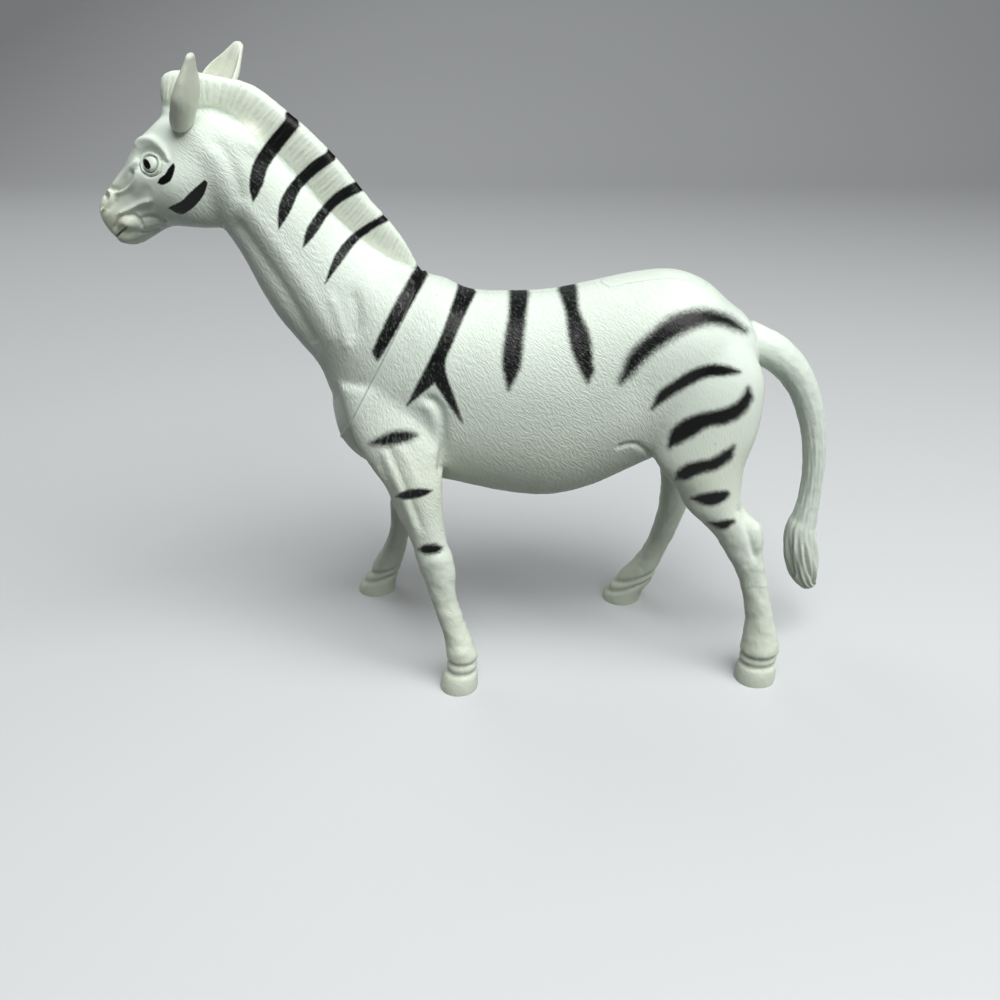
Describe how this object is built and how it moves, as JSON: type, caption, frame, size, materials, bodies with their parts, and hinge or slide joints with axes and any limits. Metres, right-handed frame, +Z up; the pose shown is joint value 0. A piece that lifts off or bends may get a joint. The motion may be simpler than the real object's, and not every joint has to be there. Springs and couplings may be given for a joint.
{
  "type": "toy zebra figure",
  "caption": "Hollow moulded plastic zebra figure, standing with raised head, upright mane and hanging tail, painted black stripes on white.",
  "frame": {"origin": "on the ground below the middle of the whole figure's bounding box", "axes": "+X towards the tail, the head points to -X; +Y towards the animal's right side; +Z up"},
  "size_m": [0.1416, 0.0453, 0.1206],
  "materials": {
    "striped_shell": "satin gloss white plastic with fine hair relief and sprayed black stripes",
    "plain_plastic": "satin gloss white plastic, unpainted, slightly yellowed"
  },
  "bodies": {
    "root": {"body_shell_left": "striped_shell", "body_shell_right": "striped_shell", "head_shell_left": "striped_shell", "head_shell_right": "striped_shell", "ear_left": "plain_plastic", "ear_right": "plain_plastic", "tail": "plain_plastic"}
  },
  "joints": []
}
